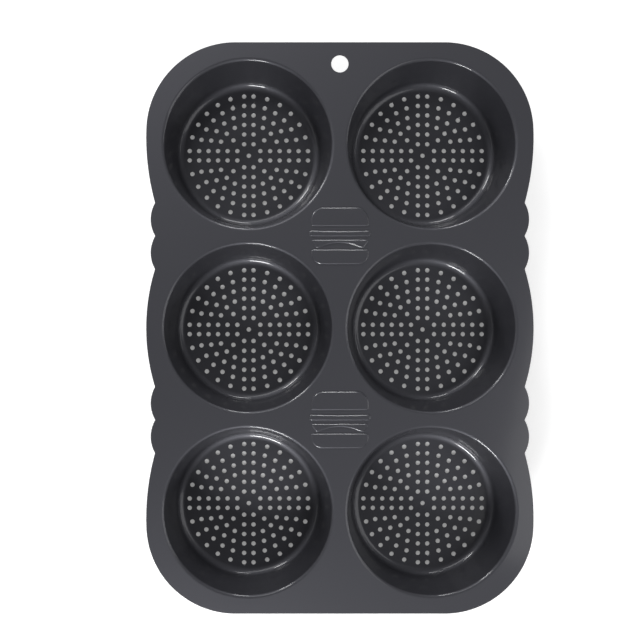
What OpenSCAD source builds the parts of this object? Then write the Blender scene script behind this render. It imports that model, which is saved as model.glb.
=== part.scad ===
// A pan for six burger buns, pressed and punched from one coated steel sheet.
// The cups hang below a flat deck and stand on their floors. Rings of holes in
// each floor let the steam out, so that the buns brown underneath.

/* [Sheet] */
// Thickness of the steel sheet
sheet = 0.6; // [0.5:0.05:0.9]
// Height of the pan, from the undersides of the cup floors to the top of the deck
pan_h = 30; // [24:0.5:40]
// Width of the flat deck left outside the cups, at the ends and at the sides
border = 10.1; // [8:0.1:16]

/* [Cups] */
// Width of a cup's mouth, where the deck starts to bend down
mouth_d = 119.2; // [98:0.2:140]
// Width of the flat deck left between the mouths of neighbouring cups, both ways
cup_gap = 6.8; // [5:0.1:20]
// Bend radius of the deck's top surface into the cup wall
rim_r = 2.5; // [1.2:0.1:4]
// Bend radius of the wall's inner surface into the cup floor
base_r = 5.5; // [2.5:0.1:8]
// Slope of the cup wall from upright, in degrees
draft = 13.6; // [8:0.1:15]

/* [Punched floors] */
// Diameter of each hole in the cup floors
hole_d = 3.3; // [2:0.1:4]
// Radius of the innermost ring of holes
first_ring = 9; // [8:0.1:10]
// Distance from the outermost ring of holes to the edge of the flat floor
floor_land = 3.2; // [3:0.1:5]
// Distance between the two holes that straddle each axis on a ring
pair_gap = 6.8; // [5.5:0.1:8]

/* [Edge of the deck] */
// Radius of the four corners
corner_r = 61; // [40:0.5:65]
// Radius of the slow curve along the middle of each side
middle_r = 137.4; // [120:0.2:200]
// Radius of the slow curve along each side near the corners
end_r = 168.5; // [140:0.5:220]
// Distance along the side from a corner's centre to the crest of that curve
crest_step = 4.2; // [1:0.2:8]
// Radius of the finger scallops, two in each gap between cups
finger_r = 22.5; // [18:0.5:30]
// Distance between the centres of a pair of scallops
finger_pitch = 22.9; // [20:0.1:26]
// Distance from the crests of the scallops to the pan's full width
finger_inset = 3.1; // [2:0.1:5]
// Radius that rounds out the notch on each side of a scallop
notch_r = 1.2; // [0.5:0.1:3]
// Diameter of the hanging hole
hang_d = 11.8; // [6:0.2:14]
// Distance from the centre of the hanging hole to the end of the deck
hang_inset = 14.8; // [10:0.2:20]

/* [Burger figure] */
// Height of the raised figure above the deck
raise = 0.5; // [0.2:0.05:0.6]
// Width of the two halves of the bun
bun_w = 38.7; // [30:0.1:42]
// Height of the upper half of the bun
top_bun_h = 12; // [9:0.1:14]
// Radius of the shoulders of the upper half
top_bun_r = 8.2; // [3:0.1:8.8]
// Height of the lower half of the bun
low_bun_h = 9.4; // [7.5:0.1:12]
// Radius of the corners of the lower half
low_bun_r = 7; // [3:0.1:7.2]
// Width of the patty
patty_w = 41.3; // [32:0.1:44]
// Height of the patty at its ends
patty_h = 3.4; // [2.8:0.1:5]
// Radius of the patty's corners
patty_r = 1.2; // [0.9:0.1:1.3]
// Depth of the sag in the patty's top edge
patty_sag = 0.5; // [0.2:0.1:1]
// Width of the cheese slice along its top edge
slice_w = 39.3; // [36:0.1:42]
// Distance between the slice's two hanging tips
tip_span = 30.6; // [24:0.1:31]
// Width of each tip at its end
tip_w = 1.6; // [1.2:0.1:3]
// Height of the slice from its top edge to its tips
slice_h = 4.9; // [4:0.1:7]
// Height of the slice at its middle
slice_waist = 1.5; // [1.2:0.1:2.5]
// Gap between the upper half of the bun and the patty
bun_gap = 3.7; // [2:0.1:5]
// Gap between the patty and the slice
slice_gap = 2.9; // [2:0.1:5]
// Gap between the slice's tips and the lower half of the bun
tip_gap = 1.8; // [1.2:0.1:4]

/* [Hidden] */
$fn = 96;
hole_fn = 24;
long_fn = 360;
coating = [0.23, 0.23, 0.25];

// Reach of a curve past the point where it touches its neighbour, so that the two run together
blend = 0.002;
// Width of flat sheet that a cup's section takes in beside each of its bends
lap = 1;

// Steps between one axis's pair of holes and the next, on each ring from the inside out
ring_steps = [1, 2, 4, 5, 6, 6];
quarter = 90;

// Places of the cups, and of the figures in the gaps between them
cup_pitch = mouth_d + cup_gap;
cup_columns = [-cup_pitch / 2, cup_pitch / 2];
cup_rows = [-cup_pitch, 0, cup_pitch];
figure_rows = [-cup_pitch / 2, cup_pitch / 2];

// Reach of the deck, and the height of its underside
mouth_r = mouth_d / 2;
half_l = max(cup_rows) + mouth_r + border;
half_w = max(cup_columns) + mouth_r + border;
deck_z = pan_h - sheet;

// Centres of the curves that make up one quarter of the deck's edge
corner_y = half_l - corner_r;
end_c = [half_w - end_r, corner_y - crest_step];
end_turn = asin(crest_step / (end_r - corner_r));
corner_c = [end_c.x + (end_r - corner_r) * cos(end_turn), corner_y];
end_top = corner_y + corner_r * sin(end_turn);
middle_c = [half_w - middle_r, 0];
finger_x = half_w - finger_inset - finger_r;
low_finger_c = [finger_x, (cup_pitch - finger_pitch) / 2];
high_finger_c = [finger_x, (cup_pitch + finger_pitch) / 2];

// Section of a cup: the centres of its two bends, and the ends of its straight wall
wall_in = [-cos(draft), sin(draft)];
rim_c = [mouth_r, pan_h - rim_r];
wall_top = rim_c + rim_r * wall_in;
wall_toe = wall_top.x - (wall_top.y - sheet) * tan(draft);
base_c = [wall_toe - base_r * tan((quarter - draft) / 2), sheet + base_r];
wall_foot = base_c - base_r * wall_in;
floor_r = base_c.x;
ring_pitch = (floor_r - floor_land - first_ring) / (len(ring_steps) - 1);

// Levels of the figure's parts, measured from its middle
figure_h = top_bun_h + bun_gap + patty_h + slice_gap + slice_h + tip_gap + low_bun_h;
top_bun_y = figure_h / 2 - top_bun_h;
patty_y = top_bun_y - bun_gap - patty_h;
slice_y = patty_y - slice_gap;
low_bun_y = slice_y - slice_h - tip_gap;
figure_wall = 0.6 * sheet;

// Where two circles cross, on the right of the way from the first to the second
function crossing(a, a_r, b, b_r) =
    let (d = norm(b - a), u = (b - a) / d, along = (d * d + a_r * a_r - b_r * b_r) / (2 * d))
    a + along * u + sqrt(a_r * a_r - along * along) * [u.y, -u.x];

// Radius of the arc that rises by a height over a half width
function arc_r(half, rise) = (half * half + rise * rise) / (2 * rise);

module two_sides() {
    for (across = [0, 1])
        mirror([across, 0]) children();
}

module four_corners() {
    for (along = [0, 1])
        mirror([0, along]) two_sides() children();
}

// The part of a circle that makes one slow curve of the edge, between two places along the side
module slow_curve(centre, r, from_y, to_y) {
    intersection() {
        translate(centre) circle(r, $fn = long_fn);
        translate([0, from_y]) square([half_w + lap, to_y - from_y]);
    }
}

// Fills the notch between two curves of the edge with a small round
module notch(a, a_r, b, b_r) {
    middle = crossing(a, a_r + notch_r - blend, b, b_r + notch_r - blend);
    difference() {
        polygon([a, middle, b]);
        translate(middle) circle(notch_r);
    }
}

module deck_edge() {
    intersection() {
        square([2 * (half_w + lap), 2 * half_l], center = true);
        union() {
            square([2 * corner_c.x, 2 * (half_l + lap)], center = true);
            square([2 * finger_x, 2 * corner_y], center = true);
            two_sides() slow_curve(middle_c, middle_r, -low_finger_c.y, low_finger_c.y);
            four_corners() {
                translate(corner_c) circle(corner_r + blend, $fn = long_fn);
                slow_curve(end_c, end_r, high_finger_c.y, end_top);
                translate(low_finger_c) circle(finger_r);
                translate(high_finger_c) circle(finger_r);
                notch(middle_c, middle_r, low_finger_c, finger_r);
                notch(low_finger_c, finger_r, high_finger_c, finger_r);
                notch(high_finger_c, finger_r, end_c, end_r);
            }
        }
    }
}

module at_cups() {
    for (x = cup_columns, y = cup_rows)
        translate([x, y]) children();
}

module deck() {
    translate([0, 0, deck_z]) linear_extrude(sheet) difference() {
        deck_edge();
        at_cups() circle(mouth_r + lap / 2);
        translate([0, half_l - hang_inset]) circle(hang_d / 2, $fn = 48);
    }
}

// The space inside a cup in section, out to its inner surface or deeper into the sheet
module cup_space(depth) {
    into_sheet = depth * wall_in;
    intersection() {
        translate([0, sheet - depth]) square([mouth_r, pan_h]);
        difference() {
            union() {
                polygon([
                    [0, -lap],
                    [floor_r, -lap],
                    [floor_r, sheet],
                    wall_foot - into_sheet,
                    wall_top - into_sheet,
                    rim_c,
                    [mouth_r, rim_c.y],
                    [mouth_r + lap, pan_h + lap],
                    [0, pan_h + lap],
                ]);
                translate(base_c) circle(base_r + depth + blend);
            }
            translate(rim_c) circle(rim_r - depth + blend);
        }
    }
}

// The wall with the bend at each end, and a little of the flat sheet beyond
module cup_wall() {
    rotate_extrude() difference() {
        union() {
            cup_space(sheet);
            translate([mouth_r - lap, deck_z]) square([2 * lap, sheet]);
        }
        cup_space(0);
        translate([-lap, -lap]) square([floor_r, pan_h]);
    }
}

module punched_floor() {
    linear_extrude(sheet) difference() {
        circle(floor_r - lap / 2);
        circle(hole_d / 2, $fn = hole_fn);
        for (ring = [0:len(ring_steps) - 1], turn = [0:3], step = [0:ring_steps[ring]]) {
            r = first_ring + ring * ring_pitch;
            pair_turn = asin(pair_gap / 2 / r);
            spread = (quarter - 2 * pair_turn) / ring_steps[ring];
            rotate(turn * quarter + pair_turn + step * spread)
                translate([r, 0]) circle(hole_d / 2, $fn = hole_fn);
        }
    }
}

// A half of the bun with its flat side down, drawn smaller all round by an inset
module bun_half(h, r, inset) {
    intersection() {
        translate([inset - bun_w / 2, inset]) square([bun_w - 2 * inset, h - 2 * inset]);
        union() {
            translate([-bun_w / 2, 0]) square([bun_w, h - r]);
            translate([r - bun_w / 2, 0]) square([bun_w - 2 * r, h]);
            two_sides() translate([bun_w / 2 - r, h - r]) circle(r - inset + blend);
        }
    }
}

module patty(inset) {
    flat = patty_w - 2 * patty_r;
    sag_r = arc_r(flat / 2, patty_sag);
    difference() {
        intersection() {
            translate([inset - patty_w / 2, inset]) square([patty_w - 2 * inset, patty_h - 2 * inset]);
            union() {
                translate([-patty_w / 2, patty_r]) square([patty_w, patty_h - 2 * patty_r]);
                translate([-flat / 2, 0]) square([flat, patty_h]);
                two_sides() for (y = [patty_r, patty_h - patty_r])
                    translate([flat / 2, y]) circle(patty_r - inset + blend);
            }
        }
        translate([0, patty_h - patty_sag + sag_r]) circle(sag_r + inset, $fn = long_fn);
    }
}

// The slice's ends lean inwards, and its lower edge arches up between its tips
module slice(inset) {
    foot = (tip_span + tip_w) / 2;
    lean = (slice_w / 2 - foot) / slice_h;
    top = slice_w / 2 - inset * (lean + sqrt(1 + lean * lean));
    low = top - lean * (slice_h - 2 * inset);
    arch_r = arc_r((tip_span - tip_w) / 2, slice_h - slice_waist);
    difference() {
        polygon([[-top, -inset], [top, -inset], [low, inset - slice_h], [-low, inset - slice_h]]);
        translate([0, -slice_waist - arch_r]) circle(arch_r + inset, $fn = long_fn);
    }
}

module figure(inset) {
    translate([0, top_bun_y]) bun_half(top_bun_h, top_bun_r, inset);
    translate([0, patty_y]) patty(inset);
    translate([0, slice_y]) slice(inset);
    translate([0, low_bun_y]) mirror([0, 1]) bun_half(low_bun_h, low_bun_r, inset);
}

module at_figures() {
    for (y = figure_rows)
        translate([0, y, deck_z]) children();
}

// The figures are pressed up from below, so they are sunk into the underside of the deck
module pan() {
    color(coating) {
        difference() {
            union() {
                deck();
                at_figures() linear_extrude(sheet + raise) figure(0);
            }
            at_figures() translate([0, 0, -sheet]) linear_extrude(sheet + raise) figure(figure_wall);
        }
        at_cups() {
            cup_wall();
            punched_floor();
        }
    }
}

pan();
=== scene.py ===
from math import asin, atan2, cos, degrees, hypot, pi, radians, sin, sqrt, tan

import bmesh
import bpy
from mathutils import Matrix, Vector
from mathutils.geometry import delaunay_2d_cdt


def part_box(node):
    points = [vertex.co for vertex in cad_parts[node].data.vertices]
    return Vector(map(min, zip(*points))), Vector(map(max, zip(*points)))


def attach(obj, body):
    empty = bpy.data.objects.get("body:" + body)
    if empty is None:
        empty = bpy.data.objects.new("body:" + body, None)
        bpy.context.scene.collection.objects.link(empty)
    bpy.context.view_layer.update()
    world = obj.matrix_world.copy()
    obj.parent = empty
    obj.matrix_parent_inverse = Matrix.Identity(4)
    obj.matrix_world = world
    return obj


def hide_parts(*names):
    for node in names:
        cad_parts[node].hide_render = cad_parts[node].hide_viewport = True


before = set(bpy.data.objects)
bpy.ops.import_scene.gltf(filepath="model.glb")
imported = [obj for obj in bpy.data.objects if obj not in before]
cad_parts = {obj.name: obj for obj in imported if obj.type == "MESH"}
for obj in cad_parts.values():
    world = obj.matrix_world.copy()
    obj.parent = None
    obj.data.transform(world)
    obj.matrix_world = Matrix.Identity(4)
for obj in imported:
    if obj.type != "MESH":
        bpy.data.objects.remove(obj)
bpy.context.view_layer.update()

# The deck, the flat part of the pan. The real pan is one blank of thin steel, cut to a rounded
# oblong with finger scallops in its sides. The press leaves this part flat, and the blanking die
# leaves its cut edge slightly rounded.

MM = 0.001
SHEET = 0.6
FIGURE_RAISE = 0.5
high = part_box("pan")[1] / MM
DECK_TOP = high.z - FIGURE_RAISE
HALF_W = high.x
HALF_L = high.y

CUP_PITCH = 126.0
CORNER_R = 61.0
MIDDLE_R = 137.4
END_R = 168.5
CREST_STEP = 4.2
FINGER_R = 22.5
FINGER_PITCH = 22.9
FINGER_INSET = 3.1
NOTCH_R = 1.2
HANG_R = 5.9
HANG_INSET = 14.8
HANG_SIDES = 48
ARC_STEPS = 24
NOTCH_STEPS = 8
CORNER_STEPS = 64
EDGE_ROUND = [(0.16, 0.0), (0.05, 0.04), (0.0, 0.15), (0.0, SHEET - 0.08), (0.08, SHEET)]
TOUCHING = 1e-6

skin_points = []
skin_faces = []


def band(rings):
    """Joins closed rings of points, each with as many points as the next, by strips of faces."""
    start = len(skin_points)
    count = len(rings[0])
    for ring in rings:
        skin_points.extend(ring)
    for i in range(len(rings) - 1):
        for j in range(count):
            k = (j + 1) % count
            a = start + i * count
            b = a + count
            skin_faces.append((a + j, a + k, b + k, b + j))


def level_fill(outer, holes, z):
    """Fills a level outline with triangles, leaving its holes open."""
    flat, rims = [], []
    for loop in [outer] + holes:
        rims.append(list(range(len(flat), len(flat) + len(loop))))
        flat.extend(Vector(point) for point in loop)
    points, _, faces, _, _, inside = delaunay_2d_cdt(flat, [], rims, 1, TOUCHING)
    start = len(skin_points)
    skin_points.extend((p.x, p.y, z) for p in points)
    kept = [face for face, where in zip(faces, inside) if where == [0]]
    skin_faces.extend(tuple(start + v for v in face) for face in kept)


def at_height(loop, z):
    """Puts a flat loop at a height."""
    return [(x, y, z) for x, y in loop]


def arc(centre, r, start, end, steps):
    """Points on an arc between two angles in degrees, without the last one."""
    turns = [radians(start + (end - start) * i / steps) for i in range(steps)]
    return [(centre[0] + r * cos(t), centre[1] + r * sin(t)) for t in turns]


def circle(centre, r, count):
    """A full circle of so many points, anticlockwise."""
    return arc(centre, r, 0, 360, count)


def inset_loop(loop, depth):
    """Moves a loop that runs anticlockwise inwards by a depth, square to its edge."""
    moved = []
    for i, (x, y) in enumerate(loop):
        before, after = loop[i - 1], loop[(i + 1) % len(loop)]
        a = Vector((x - before[0], y - before[1])).normalized()
        b = Vector((after[0] - x, after[1] - y)).normalized()
        inward = Vector((-a.y - b.y, a.x + b.x))
        inward *= 2 * depth / inward.length_squared
        moved.append((x + inward.x, y + inward.y))
    return moved


def heading(a, b):
    """The direction from one point to another, in degrees."""
    return degrees(atan2(b[1] - a[1], b[0] - a[0]))


def crossing(a, a_r, b, b_r):
    """Where two circles cross, on the right of the way from the first to the second."""
    way = Vector(b) - Vector(a)
    apart = way.length
    way.normalize()
    along = (apart ** 2 + a_r ** 2 - b_r ** 2) / (2 * apart)
    aside = sqrt(a_r ** 2 - along ** 2)
    return (a[0] + along * way.x + aside * way.y, a[1] + along * way.y - aside * way.x)


def deck_outline():
    """The blank's edge, anticlockwise: a quarter from arcs that touch, and its mirror images."""
    corner_y = HALF_L - CORNER_R
    end = (HALF_W - END_R, corner_y - CREST_STEP)
    turn = asin(CREST_STEP / (END_R - CORNER_R))
    corner = (end[0] + (END_R - CORNER_R) * cos(turn), corner_y)
    finger_x = HALF_W - FINGER_INSET - FINGER_R
    curves = [
        ((HALF_W - MIDDLE_R, 0), MIDDLE_R),
        ((finger_x, (CUP_PITCH - FINGER_PITCH) / 2), FINGER_R),
        ((finger_x, (CUP_PITCH + FINGER_PITCH) / 2), FINGER_R),
        (end, END_R),
    ]
    quarter = []
    angle = 0.0
    for (a, a_r), (b, b_r) in zip(curves, curves[1:]):
        notch = crossing(a, a_r + NOTCH_R, b, b_r + NOTCH_R)
        leave = heading(a, notch)
        quarter += arc(a, a_r, angle, leave, ARC_STEPS)
        quarter += arc(notch, NOTCH_R, leave + 180, heading(notch, b), NOTCH_STEPS)
        angle = heading(b, notch)
    quarter += arc(end, END_R, angle, degrees(turn), ARC_STEPS)
    quarter += arc(corner, CORNER_R, degrees(turn), 90, CORNER_STEPS) + [(corner[0], HALF_L)]
    left = [(-x, y) for x, y in reversed(quarter)]
    upper = quarter + left
    return upper + [(-x, -y) for x, y in upper[1:-1]]


def edge_strip(loop, outward=1):
    """The cut edge of the sheet around a loop, with its corners worn round."""
    rings = [(inset_loop(loop, outward * inset), DECK_TOP - drop) for inset, drop in EDGE_ROUND]
    band([at_height(ring, z) for ring, z in rings])


blank = deck_outline()
hang_hole = circle((0, HALF_L - HANG_INSET), HANG_R, HANG_SIDES)
edge_strip(blank)
edge_strip(hang_hole, -1)

# The six cups, drawn down out of the deck in one stroke. Each has a small bend at its rim, a wall
# that leans outwards a little, and a larger bend into its floor. Drawing gathers the steel at the
# pan's corners, which leaves soft upright puckers in those walls.

MOUTH_R = 59.6
RIM_R = 2.5
BASE_R = 5.5
DRAFT = radians(13.6)
AROUND = 180
AROUND_BELOW = 96
SECTION_STEPS = (9, 6, 14)
SECTION_STEPS_BELOW = (5, 2, 6)
CUPS = [(column * CUP_PITCH / 2, row * CUP_PITCH) for column in (-1, 1) for row in (-1, 0, 1)]
PUCKER_SIDE = radians(42)
PUCKER_PITCH = radians(17.5)
PUCKER_FIRST = radians(9)
PUCKER_DEPTH = 0.22
PUCKER_FOOT = 0.22
PUCKER_FULL = 0.57
PUCKER_EASE = 0.77
PUCKER_HEAD = 0.97

rim_centre = (MOUTH_R, DECK_TOP - RIM_R)
wall_top = (rim_centre[0] - RIM_R * cos(DRAFT), rim_centre[1] + RIM_R * sin(DRAFT))
wall_toe = wall_top[0] - (wall_top[1] - SHEET) * tan(DRAFT)
base_centre = (wall_toe - BASE_R * tan(pi / 4 - DRAFT / 2), SHEET + BASE_R)
FLOOR_R = base_centre[0]


def cup_section(depth, rim_steps, wall_steps, base_steps):
    """The cup's section on a surface at a depth into the sheet, from the deck to the floor."""
    up, lean = 90.0, degrees(DRAFT)
    bend = RIM_R - depth
    rim = arc(rim_centre, bend, up, 180 - lean, rim_steps)
    base = arc(base_centre, BASE_R + depth, -lean, -up, base_steps) + [(FLOOR_R, SHEET - depth)]
    top = (rim_centre[0] - bend * cos(DRAFT), rim_centre[1] + bend * sin(DRAFT))
    foot = base[0]
    steps = [i / wall_steps for i in range(wall_steps)]
    wall = [(top[0] + (foot[0] - top[0]) * t, top[1] + (foot[1] - top[1]) * t) for t in steps]
    return rim + wall + base


def pucker(cup, angle, z):
    """How far a corner cup's wall is pushed in at a place, by the puckers of its outer side."""
    column, row = cup
    if row == 0:
        return 0.0
    across = atan2(sin(angle) * (1 if row > 0 else -1), cos(angle) * (1 if column > 0 else -1))
    spread = max(0.0, cos(across - PUCKER_SIDE))
    level = (z - SHEET) / (DECK_TOP - SHEET)
    swell = (level - PUCKER_FOOT) / (PUCKER_FULL - PUCKER_FOOT)
    fade = (PUCKER_HEAD - level) / (PUCKER_HEAD - PUCKER_EASE)
    rise = max(0.0, min(1.0, swell)) * max(0.0, min(1.0, fade))
    wave = (0.5 + 0.5 * cos(2 * pi * (across - PUCKER_FIRST) / PUCKER_PITCH)) ** 2
    return PUCKER_DEPTH * spread ** 3 * rise * wave


def draw_cup(cup, section, around):
    """One surface of a cup: its section carried around the cup's middle."""
    rings = []
    for r, z in section:
        ring = []
        for i in range(around):
            angle = 2 * pi * i / around
            pushed = r - pucker(cup, angle, z)
            ring.append((cup[0] + pushed * cos(angle), cup[1] + pushed * sin(angle), z))
        rings.append(ring)
    band(rings)


for cup in CUPS:
    draw_cup(cup, cup_section(0.0, *SECTION_STEPS), AROUND)
    draw_cup(cup, cup_section(SHEET, *SECTION_STEPS_BELOW), AROUND_BELOW)

# The punched floors, which let the steam out of the dough. A gang of punches makes all the holes
# of a floor at once, in rings around a middle hole. Two holes straddle each axis of a ring, and a
# punch rolls the upper edge of its hole in a little.

HOLE_R = 1.65
HOLE_SIDES = 18
HOLE_ROLL = 0.1
FIRST_RING = 9.0
FLOOR_LAND = 3.2
PAIR_GAP = 6.8
RING_STEPS = [1, 2, 4, 5, 6, 6]


def hole_centres():
    """The places of one floor's holes about its middle."""
    pitch = (FLOOR_R - FLOOR_LAND - FIRST_RING) / (len(RING_STEPS) - 1)
    places = [(0.0, 0.0)]
    for ring, steps in enumerate(RING_STEPS):
        r = FIRST_RING + ring * pitch
        first = asin(PAIR_GAP / 2 / r)
        step = (pi / 2 - 2 * first) / steps
        for quarter in range(4):
            for i in range(steps + 1):
                angle = quarter * pi / 2 + first + i * step
                places.append((r * cos(angle), r * sin(angle)))
    return places


def shifted(loop, by):
    """Moves a flat loop, or a set of points, across the deck."""
    return [(x + by[0], y + by[1]) for x, y in loop]


punches = hole_centres()
for cup in CUPS:
    places = shifted(punches, cup)
    upper = [circle(place, HOLE_R + HOLE_ROLL, HOLE_SIDES) for place in places]
    lower = [circle(place, HOLE_R, HOLE_SIDES) for place in places]
    level_fill(circle(cup, FLOOR_R, AROUND), upper, SHEET)
    level_fill(circle(cup, FLOOR_R, AROUND_BELOW), lower, 0.0)
    for wide, narrow in zip(upper, lower):
        band([at_height(wide, SHEET), at_height(narrow, SHEET - HOLE_ROLL), at_height(narrow, 0.0)])

# The two burger figures, pressed up out of the deck between the cups. Each is a plain pictogram
# in four parts: the bun's two halves, the patty and a hanging cheese slice. A punch lifts them
# half a millimetre, so their sides are slopes and the same figure is sunk in below.

BUN_W = 38.7
TOP_BUN_H = 12.0
TOP_BUN_R = 8.2
LOW_BUN_H = 9.4
LOW_BUN_R = 7.0
BUN_FLAT_R = 0.9
PATTY_W = 41.3
PATTY_H = 3.4
PATTY_R = 1.2
PATTY_SAG = 0.5
SLICE_W = 39.3
SLICE_H = 4.9
SLICE_WAIST = 1.5
SLICE_R = 0.7
TIP_SPAN = 30.6
TIP_W = 1.6
BUN_GAP = 3.7
SLICE_GAP = 2.9
TIP_GAP = 1.8
FIGURE_SLOPE = [
    (-0.37, 0.0), (-0.23, 0.05), (-0.06, 0.18),
    (0.10, 0.33), (0.27, 0.45), (0.40, FIGURE_RAISE),
]
FIGURE_STEP = 1.2


def rounded_shape(corners):
    """A straight-sided shape, anticlockwise, from its corners and the radius at each one."""
    loop = []
    for i, (x, y, r) in enumerate(corners):
        here = Vector((x, y))
        to_last = (Vector(corners[i - 1][:2]) - here).normalized()
        to_next = (Vector(corners[(i + 1) % len(corners)][:2]) - here).normalized()
        half = to_last.angle(to_next) / 2
        middle = here + (to_last + to_next).normalized() * r / sin(half)
        first, last = here + to_last * r / tan(half), here + to_next * r / tan(half)
        start, end = heading(middle, first), heading(middle, last)
        turn = (end - start) % 360
        steps = max(4, round(radians(turn) * r / FIGURE_STEP * 2))
        loop += arc(middle, r, start, start + turn, steps) + [tuple(last)]
    closed = []
    for a, b in zip(loop, loop[1:] + loop[:1]):
        dx, dy = b[0] - a[0], b[1] - a[1]
        steps = max(1, int(hypot(dx, dy) / FIGURE_STEP))
        closed += [(a[0] + dx * i / steps, a[1] + dy * i / steps) for i in range(steps)]
    return closed


def bun_half(h, r, top):
    """A half of the bun between its flat side, at y = 0, and its rounded side."""
    half = BUN_W / 2
    corners = [(-half, 0, BUN_FLAT_R), (half, 0, BUN_FLAT_R), (half, h, r), (-half, h, r)]
    loop = rounded_shape(corners)
    return loop if top else [(x, -y) for x, y in reversed(loop)]


def patty():
    """The patty above its flat side at y = 0, with an upper side that sags in its middle."""
    half, r = PATTY_W / 2, PATTY_R
    loop = rounded_shape([(-half, 0, r), (half, 0, r), (half, PATTY_H, r), (-half, PATTY_H, r)])
    sag = [PATTY_SAG * max(0.0, 1 - (x / (half - r)) ** 2) * max(0.0, y / PATTY_H) for x, y in loop]
    return [(x, y - drop) for (x, y), drop in zip(loop, sag)]


def cheese_slice():
    """The slice below its top edge at y = 0, with an arch between its two tips."""
    top, foot, gap = SLICE_W / 2, (TIP_SPAN + TIP_W) / 2, (TIP_SPAN - TIP_W) / 2
    r = SLICE_R
    loop = rounded_shape([(-foot, -SLICE_H, r), (foot, -SLICE_H, r), (top, 0, r), (-top, 0, r)])
    lift = SLICE_H - SLICE_WAIST
    return [(x, y + lift * max(0.0, 1 - (x / gap) ** 2) * (y < -SLICE_H / 2)) for x, y in loop]


def figure_parts(middle_y):
    """The four outlines of one figure, placed on the deck."""
    height = TOP_BUN_H + BUN_GAP + PATTY_H + SLICE_GAP + SLICE_H + TIP_GAP + LOW_BUN_H
    bun_y = height / 2 - TOP_BUN_H
    patty_y = bun_y - BUN_GAP - PATTY_H
    slice_y = patty_y - SLICE_GAP
    low_y = slice_y - SLICE_H - TIP_GAP
    parts = [
        (bun_half(TOP_BUN_H, TOP_BUN_R, True), bun_y),
        (patty(), patty_y),
        (cheese_slice(), slice_y),
        (bun_half(LOW_BUN_H, LOW_BUN_R, False), low_y),
    ]
    return [shifted(loop, (0, middle_y + y)) for loop, y in parts]


upper_feet, lower_feet = [], []
sides = ((upper_feet, DECK_TOP, 0.0), (lower_feet, DECK_TOP - SHEET, SHEET / 2))
for part in figure_parts(CUP_PITCH / 2) + figure_parts(-CUP_PITCH / 2):
    for feet, level, shift in sides:
        slope = [(inset_loop(part, inset + shift), level + rise) for inset, rise in FIGURE_SLOPE]
        band([at_height(loop, z) for loop, z in slope])
        level_fill(slope[-1][0], [], slope[-1][1])
        feet.append(slope[0][0])

for level, round_over, feet, around in (
    (DECK_TOP, EDGE_ROUND[0], upper_feet, AROUND),
    (DECK_TOP - SHEET, EDGE_ROUND[-1], lower_feet, AROUND_BELOW),
):
    mouths = [circle(cup, MOUTH_R, around) for cup in CUPS]
    hook_hole = inset_loop(hang_hole, -round_over[0])
    level_fill(inset_loop(blank, round_over[0]), mouths + [hook_hole] + feet, level)

# The coating, on the finished pan. The whole sheet is sprayed with a dark grey non-stick coating
# and baked, inside and out. It is half glossy, with the faint orange peel of a sprayed finish. The
# steep walls are given less sheen than the deck, a painted shade that darkens them by their slope.

COAT_COLOUR = (0.011, 0.011, 0.014)
COAT_LIGHT = (0.014, 0.014, 0.017)
CLOUD_PER_M = 14.0
CLOUD_DETAIL = 3.0
PEEL_PER_M = 900.0
PEEL_DETAIL = 2.0
PEEL_DEPTH = 0.00005
PEEL_STRENGTH = 0.12
BODY_ROUGH = (0.56, 0.66)
BODY_IOR = 1.8
BODY_SHEEN = (0.88, 0.89, 1.0, 1)
DECK_SHEEN = 0.56
# Painted shade on the steep walls: their lower sheen darkens them against the deck.
SHADED_WALL_SHEEN = 0.28
CLEAR_COAT = 0.56
CLEAR_ROUGH = 0.12
SHARP_TURN = radians(42)


def calc(tree, operation, first, second=0.0):
    """A node that works out one number from one or two, each a socket or a plain number."""
    node = tree.nodes.new("ShaderNodeMath")
    node.operation = operation
    for socket, value in zip(node.inputs, (first, second)):
        if isinstance(value, float):
            socket.default_value = value
        else:
            tree.links.new(value, socket)
    return node.outputs[0]


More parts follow.
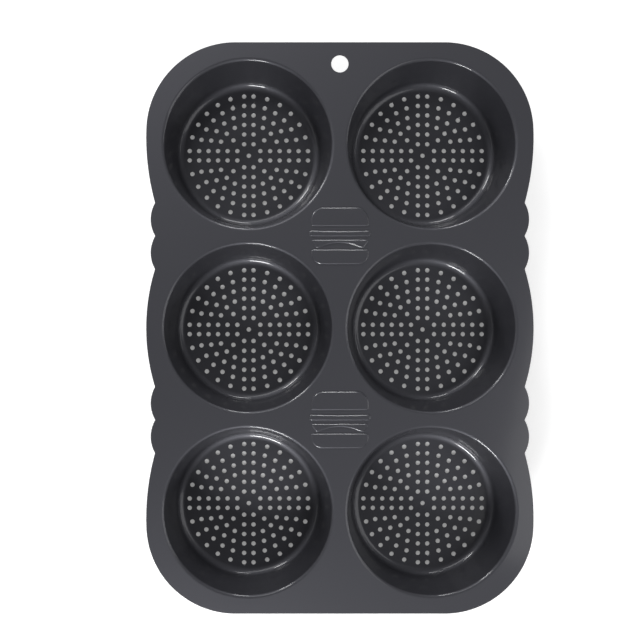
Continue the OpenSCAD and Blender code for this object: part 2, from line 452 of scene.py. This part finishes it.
def coating():
    """A cloudy dark body under a thin clear film, which draws the sharp bright lines."""
    material = bpy.data.materials.new("coated_steel")
    material.use_nodes = True
    tree = material.node_tree
    nodes, links = tree.nodes, tree.links
    shader = nodes["Principled BSDF"]
    shader.inputs["IOR"].default_value = BODY_IOR
    shader.inputs["Specular Tint"].default_value = BODY_SHEEN
    shader.inputs["Coat Weight"].default_value = CLEAR_COAT
    shader.inputs["Coat Roughness"].default_value = CLEAR_ROUGH
    place = nodes.new("ShaderNodeTexCoord")

    clouds = nodes.new("ShaderNodeTexNoise")
    clouds.inputs["Scale"].default_value = CLOUD_PER_M
    clouds.inputs["Detail"].default_value = CLOUD_DETAIL
    links.new(place.outputs["Object"], clouds.inputs["Vector"])
    tint = nodes.new("ShaderNodeMix")
    tint.data_type = "RGBA"
    tint.inputs["A"].default_value = (*COAT_COLOUR, 1)
    tint.inputs["B"].default_value = (*COAT_LIGHT, 1)
    links.new(clouds.outputs["Fac"], tint.inputs["Factor"])
    links.new(tint.outputs["Result"], shader.inputs["Base Color"])

    turned = nodes.new("ShaderNodeNewGeometry")
    upright = nodes.new("ShaderNodeSeparateXYZ")
    links.new(turned.outputs["Normal"], upright.inputs[0])
    # Painted shade: the steeper a face, the less sheen it gets, so the walls shine less than the
    # deck.
    film = nodes.new("ShaderNodeMapRange")
    film.inputs["From Min"].default_value = sin(DRAFT)
    film.inputs["To Min"].default_value = SHADED_WALL_SHEEN
    film.inputs["To Max"].default_value = DECK_SHEEN
    links.new(calc(tree, "ABSOLUTE", upright.outputs["Z"]), film.inputs["Value"])
    links.new(film.outputs["Result"], shader.inputs["Specular IOR Level"])

    peel = nodes.new("ShaderNodeTexNoise")
    peel.inputs["Scale"].default_value = PEEL_PER_M
    peel.inputs["Detail"].default_value = PEEL_DETAIL
    links.new(place.outputs["Object"], peel.inputs["Vector"])
    gloss = nodes.new("ShaderNodeMapRange")
    gloss.inputs["To Min"].default_value = BODY_ROUGH[0]
    gloss.inputs["To Max"].default_value = BODY_ROUGH[1]
    links.new(peel.outputs["Fac"], gloss.inputs["Value"])
    links.new(gloss.outputs["Result"], shader.inputs["Roughness"])
    bump = nodes.new("ShaderNodeBump")
    bump.inputs["Strength"].default_value = PEEL_STRENGTH
    bump.inputs["Distance"].default_value = PEEL_DEPTH
    links.new(peel.outputs["Fac"], bump.inputs["Height"])
    links.new(bump.outputs["Normal"], shader.inputs["Normal"])
    return material


def one_sheet():
    """Welds every surface above into one closed sheet, shaded smooth but for its sharp edges."""
    mesh = bpy.data.meshes.new("pan_sheet")
    mesh.from_pydata([tuple(c * MM for c in p) for p in skin_points], [], skin_faces)
    work = bmesh.new()
    work.from_mesh(mesh)
    bmesh.ops.remove_doubles(work, verts=work.verts, dist=TOUCHING)
    bmesh.ops.recalc_face_normals(work, faces=work.faces)
    work.to_mesh(mesh)
    work.free()
    mesh.shade_smooth()
    mesh.set_sharp_from_angle(angle=SHARP_TURN)
    return mesh


pan = bpy.data.objects.new("coated_pan", one_sheet())
bpy.context.scene.collection.objects.link(pan)
pan.data.materials.append(coating())
even = pan.modifiers.new("even_shading", "WEIGHTED_NORMAL")
even.keep_sharp = True
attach(pan, "root")
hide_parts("pan")

# The table, the light and the camera. The pan lies on a plain white table, with painted shade on
# the table under the pan. Three small soft boxes stand low around it and draw the bright lines
# along the bends, and larger, weaker ones light the deck. The camera hangs half a metre above the
# pan and looks straight down.

TABLE_SIZE = 6.0
TABLE_TONE = 0.8
TABLE_GLOW = 0.57
# Painted shade on the table under the pan: a darker colour and a weaker glow there.
SHADE_TONE_UNDER_PAN = 0.4
SHADE_GLOW_UNDER_PAN = 0.17
PAN_SHADE = (0.038, 0.050)
FAR_TABLE = (0.4, 1.2)
ROOM_GLOW = 0.072
CAMERA_AT = Vector((-51.5, -18.4, 530.5)) * MM
FOCAL_PX = 731.0
FRAME_PX = 640.0
NADIR_PX = (264.7, 354.8)


def table():
    """A white table that looks lit to the camera and in reflections, with painted shade below the
    pan.
    """
    bpy.ops.mesh.primitive_plane_add(size=TABLE_SIZE, location=(0, 0, 0))
    top = bpy.context.object
    top.name = "table"
    material = bpy.data.materials.new("white_table")
    material.use_nodes = True
    tree = material.node_tree
    nodes, links = tree.nodes, tree.links
    nodes.clear()
    place = nodes.new("ShaderNodeNewGeometry")
    spot = nodes.new("ShaderNodeSeparateXYZ")
    links.new(place.outputs["Position"], spot.inputs[0])
    beyond = []
    for axis, half in (("X", HALF_W), ("Y", HALF_L)):
        away = calc(tree, "ABSOLUTE", spot.outputs[axis])
        outside = calc(tree, "MAXIMUM", calc(tree, "SUBTRACT", away, (half - CORNER_R) * MM), 0.0)
        beyond.append(calc(tree, "MULTIPLY", outside, outside))
    reach = calc(tree, "SQRT", calc(tree, "ADD", *beyond))
    # Painted shade mask: 0 under the pan, rising to 1 a little inside its outline; it darkens the
    # table's colour and glow.
    clear = nodes.new("ShaderNodeMapRange")
    clear.interpolation_type = "SMOOTHSTEP"
    clear.inputs["From Min"].default_value = PAN_SHADE[0]
    clear.inputs["From Max"].default_value = PAN_SHADE[1]
    links.new(reach, clear.inputs["Value"])
    level = nodes.new("ShaderNodeMapRange")
    level.inputs["From Min"].default_value = FAR_TABLE[0]
    level.inputs["From Max"].default_value = FAR_TABLE[1]
    level.inputs["To Min"].default_value = TABLE_GLOW
    links.new(reach, level.inputs["Value"])
    clear, level = clear.outputs["Result"], level.outputs["Result"]
    path = nodes.new("ShaderNodeLightPath").outputs
    mirrored = calc(tree, "MAXIMUM", path["Is Glossy Ray"], path["Is Transmission Ray"])
    mirrored = calc(tree, "MULTIPLY", mirrored, clear)
    seen = calc(tree, "MAXIMUM", clear, SHADE_GLOW_UNDER_PAN / TABLE_GLOW)
    seen = calc(tree, "MULTIPLY", seen, path["Is Camera Ray"])
    strength = calc(tree, "MULTIPLY", calc(tree, "MAXIMUM", seen, mirrored), level)
    tone = calc(tree, "MAXIMUM", calc(tree, "MULTIPLY", clear, TABLE_TONE), SHADE_TONE_UNDER_PAN)
    glow = nodes.new("ShaderNodeEmission")
    links.new(strength, glow.inputs["Strength"])
    matt = nodes.new("ShaderNodeBsdfDiffuse")
    links.new(tone, matt.inputs["Color"])
    both = nodes.new("ShaderNodeAddShader")
    out = nodes.new("ShaderNodeOutputMaterial")
    links.new(matt.outputs[0], both.inputs[0])
    links.new(glow.outputs[0], both.inputs[1])
    links.new(both.outputs[0], out.inputs["Surface"])
    top.data.materials.append(material)


def soft_box(name, at, size, watts):
    """An oblong soft light at a place in millimetres, turned towards the table's middle."""
    lamp = bpy.data.lights.new(name, "AREA")
    lamp.shape = "RECTANGLE"
    lamp.size, lamp.size_y = size[0] * MM, size[1] * MM
    lamp.energy = watts
    box = bpy.data.objects.new(name, lamp)
    box.location = Vector(at) * MM
    box.rotation_euler = (-Vector(at)).to_track_quat("-Z", "Y").to_euler()
    bpy.context.scene.collection.objects.link(box)


def room():
    """Plain white to the camera, and a faint even light on the pan."""
    world = bpy.data.worlds.new("room")
    bpy.context.scene.world = world
    world.use_nodes = True
    nodes, links = world.node_tree.nodes, world.node_tree.links
    nodes.clear()
    path = nodes.new("ShaderNodeLightPath")
    level = nodes.new("ShaderNodeMapRange")
    level.inputs["To Min"].default_value = ROOM_GLOW
    back = nodes.new("ShaderNodeBackground")
    back.inputs["Color"].default_value = (1, 1, 1, 1)
    out = nodes.new("ShaderNodeOutputWorld")
    links.new(path.outputs["Is Camera Ray"], level.inputs["Value"])
    links.new(level.outputs["Result"], back.inputs["Strength"])
    links.new(back.outputs[0], out.inputs["Surface"])


table()
room()
soft_box("near_left_light", (-253, -946, 380), (300, 200), 10.53)
soft_box("far_light", (64, 1450, 400), (350, 300), 8.10)
soft_box("far_left_light", (-790, 940, 430), (280, 260), 6.70)
soft_box("right_light", (1400, -70, 400), (1200, 300), 3.82)
soft_box("left_light", (-1316, 0, 479), (800, 300), 0.71)
soft_box("high_far_light", (-408, 876, 870), (700, 400), 2.74)
soft_box("high_right_light", (890, -230, 1000), (700, 900), 3.99)

camera = bpy.data.cameras.new("photo_camera")
camera.sensor_width = 36.0
camera.lens = FOCAL_PX / FRAME_PX * camera.sensor_width
camera.shift_x = 0.5 - NADIR_PX[0] / FRAME_PX
camera.shift_y = NADIR_PX[1] / FRAME_PX - 0.5
viewer = bpy.data.objects.new("photo_camera", camera)
viewer.location = CAMERA_AT
bpy.context.scene.collection.objects.link(viewer)
bpy.context.scene.camera = viewer
bpy.context.scene.view_settings.view_transform = "Standard"
